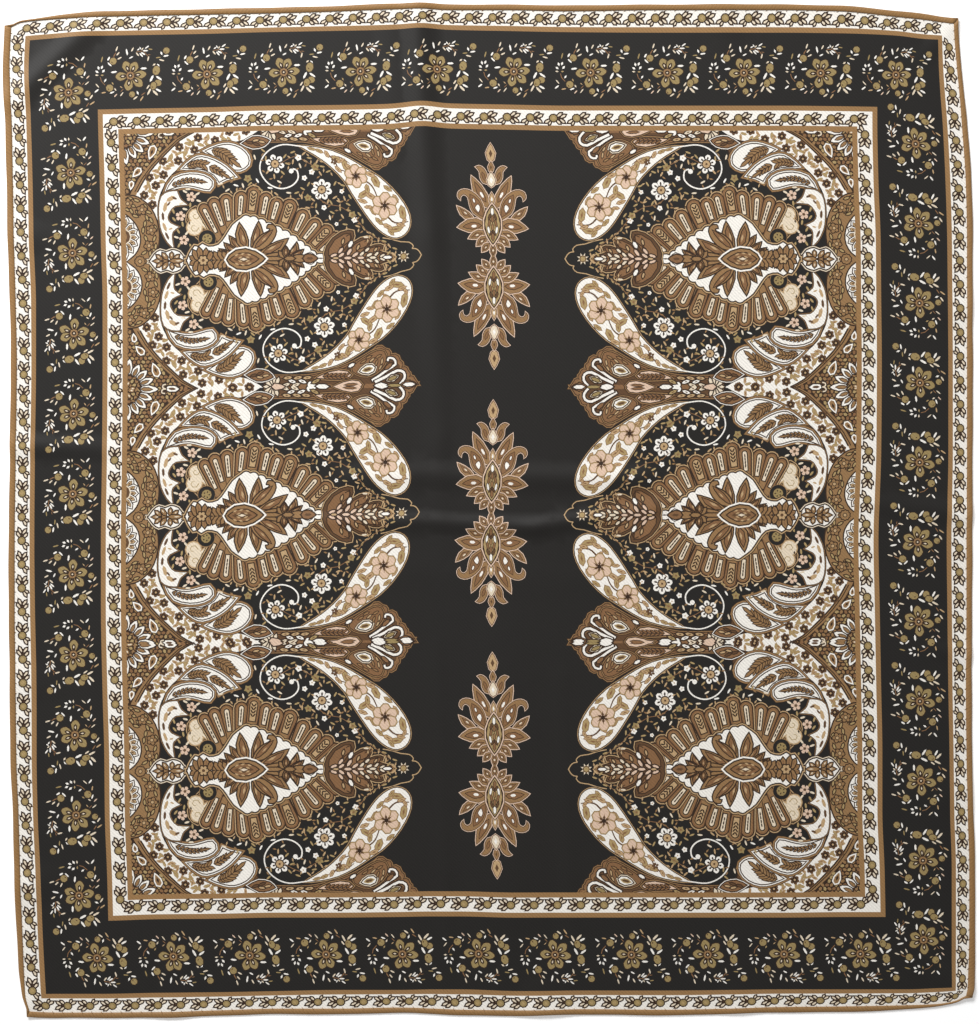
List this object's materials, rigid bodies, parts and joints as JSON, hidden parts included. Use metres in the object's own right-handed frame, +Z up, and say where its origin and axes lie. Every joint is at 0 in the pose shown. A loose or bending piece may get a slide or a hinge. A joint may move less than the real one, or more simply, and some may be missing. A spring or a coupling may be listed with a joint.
{
  "type": "silk scarf",
  "caption": "Printed silk square laid flat, a thin cloth panel with soft folds and a narrow rolled hem along each edge.",
  "frame": {"origin": "middle of the laid scarf's outline, on the surface it lies on", "axes": "+Z up out of the cloth's printed face, +Y towards the edge at the top of the picture, +X towards the edge at its right"},
  "size_m": [0.8648, 0.9023, 0.006],
  "materials": {
    "printed_silk": "silk twill with a soft sheen, printed in black, browns, tan and cream",
    "hem_silk": "the same silk in a brown print, rolled and slip-stitched"
  },
  "bodies": {
    "root": {"silk_square": "printed_silk", "hem_top": "hem_silk", "hem_bottom": "hem_silk", "hem_left": "hem_silk", "hem_right": "hem_silk"}
  },
  "joints": []
}
